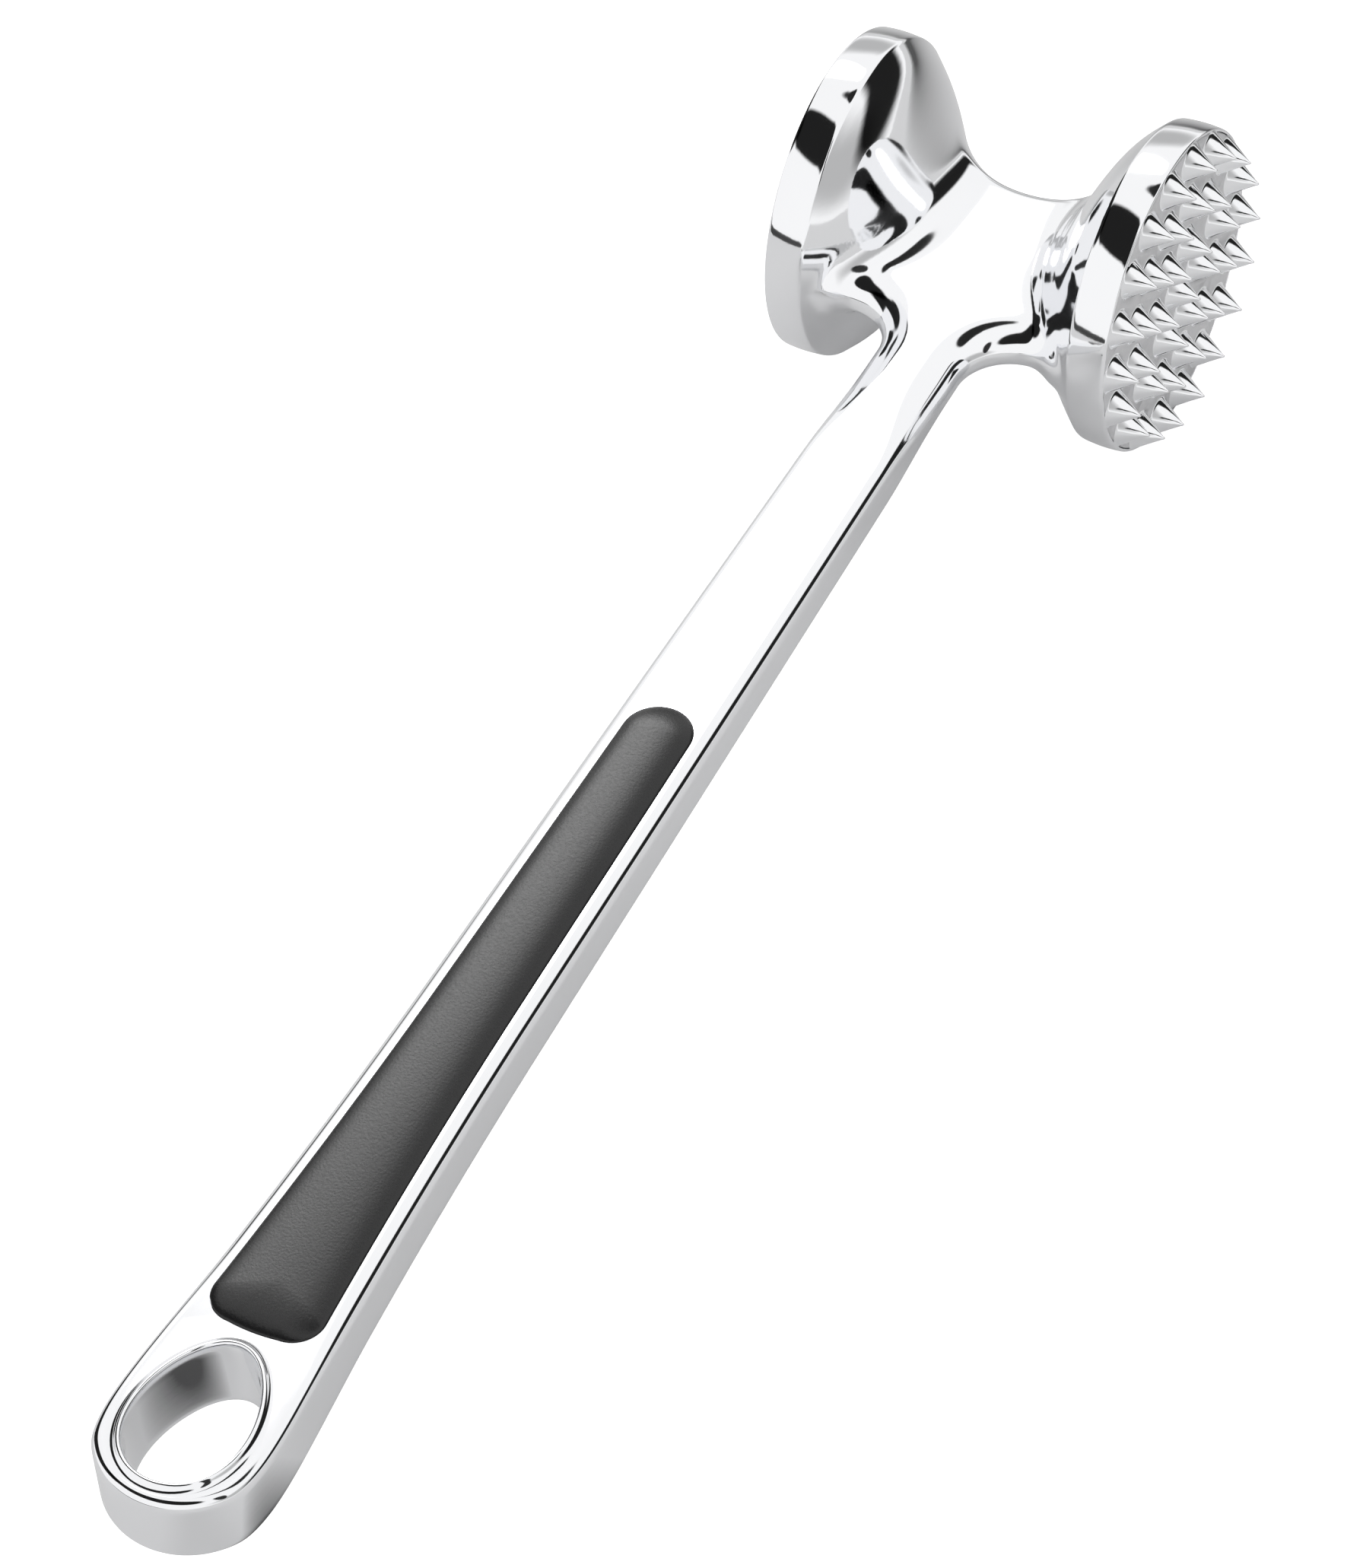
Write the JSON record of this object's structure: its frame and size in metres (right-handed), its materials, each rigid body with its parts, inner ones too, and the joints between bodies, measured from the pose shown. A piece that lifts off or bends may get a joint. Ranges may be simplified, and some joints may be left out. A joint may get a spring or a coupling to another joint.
{
  "type": "meat mallet",
  "caption": "Hand mallet for meat: a chromed body with a spiked and a smooth striking face, a flat tapering handle with soft grip inlays, and a hanging hole.",
  "frame": {"origin": "centre of the smooth striking face", "axes": "+X along the head from the smooth face towards the spikes, +Y along the handle towards the head, +Z out of the front of the handle"},
  "size_m": [0.0642, 0.3047, 0.054],
  "materials": {
    "chrome_body": "mirror-polished chrome plate on die-cast zinc",
    "spike_steel": "satin ground with polished cones",
    "chrome_face": "polished, with fine marks of use",
    "soft_grip": "soft-touch black with a broad low sheen"
  },
  "bodies": {
    "root": {"mallet_body": "chrome_body", "spiked_plate": "spike_steel", "smooth_plate": "chrome_face", "front_grip": "soft_grip", "rear_grip": "soft_grip"}
  },
  "joints": []
}
